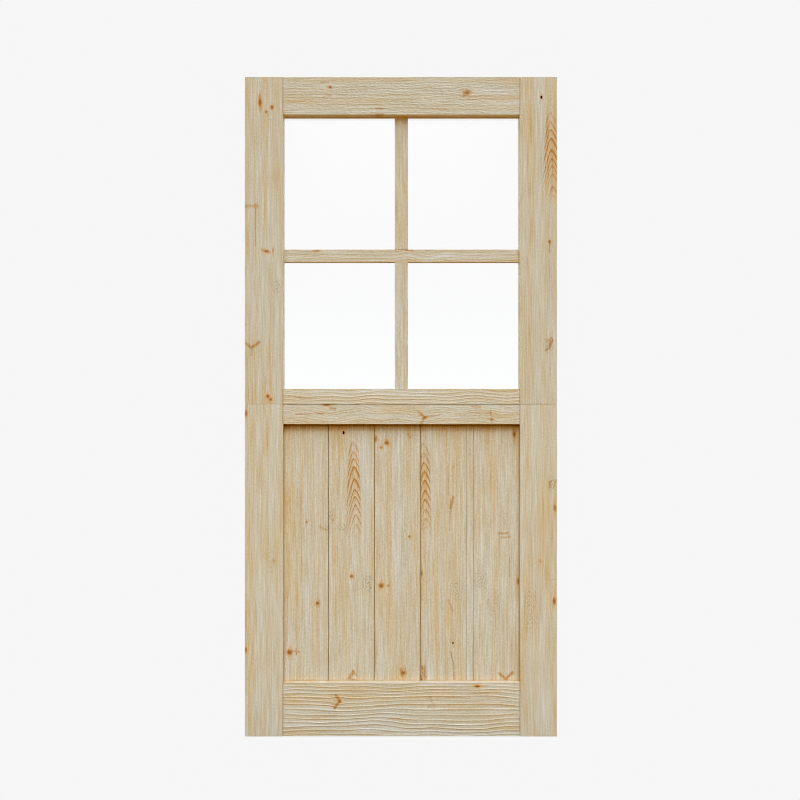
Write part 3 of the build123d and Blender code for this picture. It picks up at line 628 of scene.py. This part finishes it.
rails = {
    "upper_leaf_top_rail": (dict(
        seed=5, pith=(-150, -60), ring=8.5, ripple=6.5, mid=85.0, wander=9.0, uneven=2.2, relief=0.60, dash=0.60, lines=0.20, least=0.15, early=0.5, crest=0.78, front=0.0,
        knots=[(330.2, 87, 0.9, 0.9, 0.8), (467.1, 92.6, 2.1, 1.8, 0.75)],
        strokes=[(321, 82.4, 329, 82.2, 0.6, 0.4), (323, 96.6, 331, 95.6, 0.8, 0.4), (376, 108.6, 383, 108.8, 0.5, 0.5), (376, 114, 383, 113.8, 0.5, 0.5),
                 (464, 92.5, 463.8, 96, 0.6, 0.4)],
        crinkles=[(351, 92, 16, 6, 0.5), (467, 93, 8, 5, 0.6)]), "upper_leaf", 2.2, 0.9),
    "upper_leaf_meeting_rail": (dict(
        seed=6, pith=(-150, -60), ring=10.2, ripple=2.9, mid=75.0, sway=15.0, bend=100.0, wander=6.0, uneven=1.2, gain=1.05, relief=1.15, dash=0.30, lines=0.22, least=0.45, early=0.5, crest=0.78, front=0.0),
        "upper_leaf", 2.2, 0.8),
    "lower_leaf_meeting_rail": (dict(
        seed=7, pith=(-150, -60), ring=7.6, ripple=6.0, mid=42.0, sway=18.0, bend=90.0, wander=7.0, uneven=2.0, gain=1.035, relief=0.85, dash=0.62, lines=0.22, least=0.3, early=0.5, crest=0.78, front=0.0,
        knots=[(424.8, 417.4, 1.6, 0.9, 0.7), (326.6, 404.9, 2.6, 0.7, 0.8), (492, 419, 1.4, 0.8, 0.6)],
        strokes=[(295.7, 413.9, 324, 413.6, 0.5, 0.45), (330.5, 407.6, 335, 409, 1.0, 0.45), (418.3, 411.4, 424.8, 417.4, 0.8, 0.6),
                 (421.6, 422.8, 424.8, 417.4, 0.8, 0.6), (472, 405.8, 480, 407.2, 0.9, 0.4), (490.6, 412, 491.8, 422, 0.6, 0.35),
                 (424.8, 417.4, 440, 414.6, 0.6, 0.35)],
        crinkles=[(340, 412, 14, 4, 0.5), (470, 415, 14, 5, 0.5)]), "lower_leaf", 2.2, 0.8),
    "lower_leaf_bottom_rail": (dict(
        seed=8, pith=(-300, -60), ring=12.3, ripple=4.6, mid=85.0, sway=15.0, bend=170.0, wander=9.0, uneven=0.9, gain=1.035, relief=1.92, dash=0.20, lines=0.30, least=0.7,
        early=0.54, crest=0.80, front=0.0, broad=0.26, base=0.42,
        knots=[(477.3, 686.3, 1.9, 0.9, 0.95), (339.8, 701.3, 0.9, 1.3, 0.8)],
        strokes=[(335.8, 695.5, 339.8, 701.3, 0.9, 0.75), (334.5, 708, 339.8, 701.3, 0.9, 0.75), (431, 697, 433, 706, 0.8, 0.3),
                 (428, 706.8, 435, 706.4, 0.8, 0.4), (446, 697.6, 470, 698.2, 0.4, 0.5), (474, 693.2, 488, 693.6, 0.5, 0.4),
                 (374, 706, 384, 706.6, 0.5, 0.35), (388, 718.9, 400, 718.6, 0.5, 0.4)]), "lower_leaf", 2.4, 0.8),
    "glazing_bar_level": (dict(
        seed=9, pith=(-120, -60), ring=8.4, ripple=1.8, mid=90.0, sway=9.0, bend=110.0, wander=4.0, uneven=1.4, relief=0.85, dash=0.20, lines=0.22, least=0.45, early=0.5, crest=0.78, front=25.0 / 1000,
        knots=[(316.3, 250.6, 2.4, 0.7, 0.55)],
        strokes=[(405.5, 250.3, 412, 250.3, 0.5, 0.55)],
        waves=[(408, 256, 9, 60, 8.0), (430, 256, 11, 60, -5.0)]), "upper_leaf", 2.0, 0.8),
}
for node, (s, body, along, across) in rails.items():
    mm = DEEP if node == "glazing_bar_level" else FRONT
    s = piece(node, "x", mm, **s)
    carve(node, s, body, along / 1000, across / 1000, round_ends=node != "glazing_bar_level")

for node in nodes:
    if node.startswith("bead_"):
        along = "x" if node.endswith(("top", "bottom")) else "z"
        dress(node, finish(node, piece(node, along, DEEP, seed=40 + sum(map(ord, node)) % 17, pith=(-60, -40), ring=2.8)))

# ---------------------------------------------------------------------------
# Glass and metal
# ---------------------------------------------------------------------------
glass = bpy.data.materials.new("clear_glass")
glass.use_nodes = True
b = glass.node_tree.nodes["Principled BSDF"]
b.inputs["Transmission Weight"].default_value = 1.0
b.inputs["IOR"].default_value = 1.45
b.inputs["Base Color"].default_value = (0.992, 0.998, 0.995, 1.0)
# faint wiping marks
g = Graph(glass.node_tree)
wiped = g.vmath("MULTIPLY", g.new("ShaderNodeTexCoord").outputs["Object"], (4.0, 4.0, 9.0))
g.put(g.step(g.noise(wiped, detail=3.0), -0.1, 0.5, 0.0, 0.008), b.inputs["Roughness"])
for node in nodes:
    if node.startswith("glass_pane"):
        dress(node, glass)


def metal(name, colour, rough):
    m = bpy.data.materials.new(name)
    m.use_nodes = True
    g = Graph(m.node_tree)
    bs = m.node_tree.nodes["Principled BSDF"]
    tc = g.new("ShaderNodeTexCoord")
    p = g.vmath("MULTIPLY", tc.outputs["Object"], (1000.0, 1000.0, 1000.0))
    x, y, z = g.split(p)
    blotch = g.noise(g.vec(g.mul(x, 0.12), g.mul(y, 0.12), g.mul(z, 0.12)), detail=3.0)
    brushed = g.noise(g.vec(g.mul(x, 2.2), g.mul(y, 2.2), g.mul(z, 0.09)), detail=2.0)
    g.put(g.mixc(g.step(blotch, -0.3, 0.3), srgb(*colour), srgb(*[c * 0.86 for c in colour])), bs.inputs["Base Color"])
    bs.inputs["Metallic"].default_value = 1.0
    g.put(g.step(brushed, -0.4, 0.4, rough - 0.08, rough + 0.1, smooth=False), bs.inputs["Roughness"])
    bm = g.new("ShaderNodeBump")
    bm.inputs["Distance"].default_value = 0.00004
    bm.inputs["Strength"].default_value = 0.6
    g.put(brushed, bm.inputs["Height"])
    g.put(bm.outputs[0], bs.inputs["Normal"])
    return m


zinc = metal("zinc_plate", (189, 186, 181), 0.44)
screw_metal = metal("zinc_screw", (185, 182, 177), 0.36)
nail_metal = metal("nail_steel", (149, 147, 143), 0.42)
for node in nodes:
    if node.endswith("hinge_screws"):
        dress(node, screw_metal)
    elif "_hinge_" in node:
        dress(node, zinc)
    elif node in ("board_nails", "glazing_bead_pins"):
        dress(node, nail_metal)

# ---------------------------------------------------------------------------
# Stage: a pale floor, an even backdrop and soft light from above and in front
# ---------------------------------------------------------------------------
BACKDROP = 0.9216
THROUGH = 1.0

scene = bpy.context.scene
scene.cycles.filter_width = 1.0
scene.view_settings.view_transform = "Standard"
scene.view_settings.look = "None"
scene.view_settings.use_curve_mapping = True
curves = scene.view_settings.curve_mapping
tone_curve = curves.curves[3]
points = [(0.0, 0.0), (0.03, 0.004), (0.08, 0.042), (0.16, 0.120), (0.30, 0.274), (0.50, 0.492), (0.70, 0.70), (1.0, 1.0)]
while len(tone_curve.points) < len(points):
    tone_curve.points.new(0.5, 0.5)
for p, (a, b_) in zip(tone_curve.points, points):
    p.location = (a, b_)
curves.update()


def first_sight(g):
    """1 for what the camera sees straight or through glass, 0 for the light that falls on things."""
    path = g.new("ShaderNodeLightPath")
    bounced = g.step(path.outputs["Diffuse Depth"], 0.5, 0.6, 1.0, 0.0, smooth=False)
    through = g.mul(path.outputs["Is Transmission Ray"], bounced)
    return g.math("MAXIMUM", path.outputs["Is Camera Ray"], through), path.outputs["Is Transmission Ray"]


world = bpy.data.worlds.new("studio")
scene.world = world
world.use_nodes = True
wt = world.node_tree
for n in list(wt.nodes):
    wt.nodes.remove(n)
g = Graph(wt)
tc = g.new("ShaderNodeTexCoord")
dx, dy, dz = g.split(tc.outputs["Generated"])
# a long soft light above and in front, an even fill, and two soft walls behind on the left and right
KEY_HEIGHT = math.radians(60.0)
upright = g.math("SQRT", g.madd(dy, dy, g.madd(dz, dz, 0.0001)))
toward = g.math("DIVIDE", g.madd(dy, -math.cos(KEY_HEIGHT), g.mul(dz, math.sin(KEY_HEIGHT))), upright)
lobe = g.mul(g.step(toward, 0.55, 0.995), g.step(g.math("ABSOLUTE", dx), 0.34, 0.04, 0.0, 11.0))
facing = g.math("DIVIDE", g.mul(dy, dy), g.math("MAXIMUM", g.madd(dx, dx, g.mul(dy, dy)), 0.0001))
fill = g.madd(facing, 0.55, 0.12)
across = g.math("ABSOLUTE", dx)
sides = g.mul(g.step(across, 0.45, 0.80, 0.5, 9.0), g.mul(g.step(across, 0.995, 0.93), g.step(dy, 0.0, 0.25)))
wall = g.mul(sides, g.step(dz, 0.85, 0.5, 0.3, 1.0))
above = g.step(dz, -0.02, 0.02)
strength = g.mul(g.add(g.add(lobe, fill), wall), above)
sky = g.vmath("MULTIPLY", g.vec(strength, strength, strength), (0.577, 0.706, 0.855))
seen, through = first_sight(g)
# behind glass it is a little brighter, less so higher up, where the panes mirror the sky
pale = [g.step(dz, 0.0, 0.30, low, high, smooth=False) for low, high in ((1.018, 0.923), (1.024, 0.892), (1.029, 0.880))]
plain = g.mixc(through, (BACKDROP, BACKDROP, BACKDROP, 1), g.vec(*pale))
bg = g.new("ShaderNodeBackground")
g.put(g.mixc(seen, sky, plain), bg.inputs["Color"])
out = g.new("ShaderNodeOutputWorld")
g.put(bg.outputs[0], out.inputs["Surface"])

floor_mesh = bpy.data.meshes.new("floor")
floor_mesh.from_pydata([(-40, -40, 0), (40, -40, 0), (40, 40, 0), (-40, 40, 0)], [], [(0, 1, 2, 3)])
floor = bpy.data.objects.new("floor", floor_mesh)
scene.collection.objects.link(floor)
floor.location = (0, 0, -0.0005)
pale = bpy.data.materials.new("pale_floor")
pale.use_nodes = True
ft = pale.node_tree
for n in list(ft.nodes):
    ft.nodes.remove(n)
g = Graph(ft)
seen, through = first_sight(g)
glow = g.new("ShaderNodeEmission")
g.put(g.mixc(through, (BACKDROP, BACKDROP, BACKDROP, 1), (THROUGH, THROUGH, THROUGH, 1)), glow.inputs["Color"])
# warm in front of the door, paler behind it
matt = g.new("ShaderNodeBsdfDiffuse")
behind = g.step(g.split(g.new("ShaderNodeTexCoord").outputs["Object"])[1], -0.1, 0.3)
g.put(g.mixc(behind, (0.43, 0.23, 0.070, 1.0), (0.27, 0.15, 0.060, 1.0)), matt.inputs["Color"])
mix = g.new("ShaderNodeMixShader")
g.put(seen, mix.inputs[0])
g.put(matt.outputs[0], mix.inputs[1])
g.put(glow.outputs[0], mix.inputs[2])
out = g.new("ShaderNodeOutputMaterial")
g.put(mix.outputs[0], out.inputs["Surface"])
floor_mesh.materials.append(pale)

cam = bpy.data.cameras.new("camera")
cam.sensor_width = 36.0
cam.lens = 41.65
cam.clip_end = 100.0
cam_o = bpy.data.objects.new("camera", cam)
scene.collection.objects.link(cam_o)
cam_o.location = CAMERA
cam_o.rotation_euler = (math.radians(90.0), 0.0, 0.0)
scene.camera = cam_o
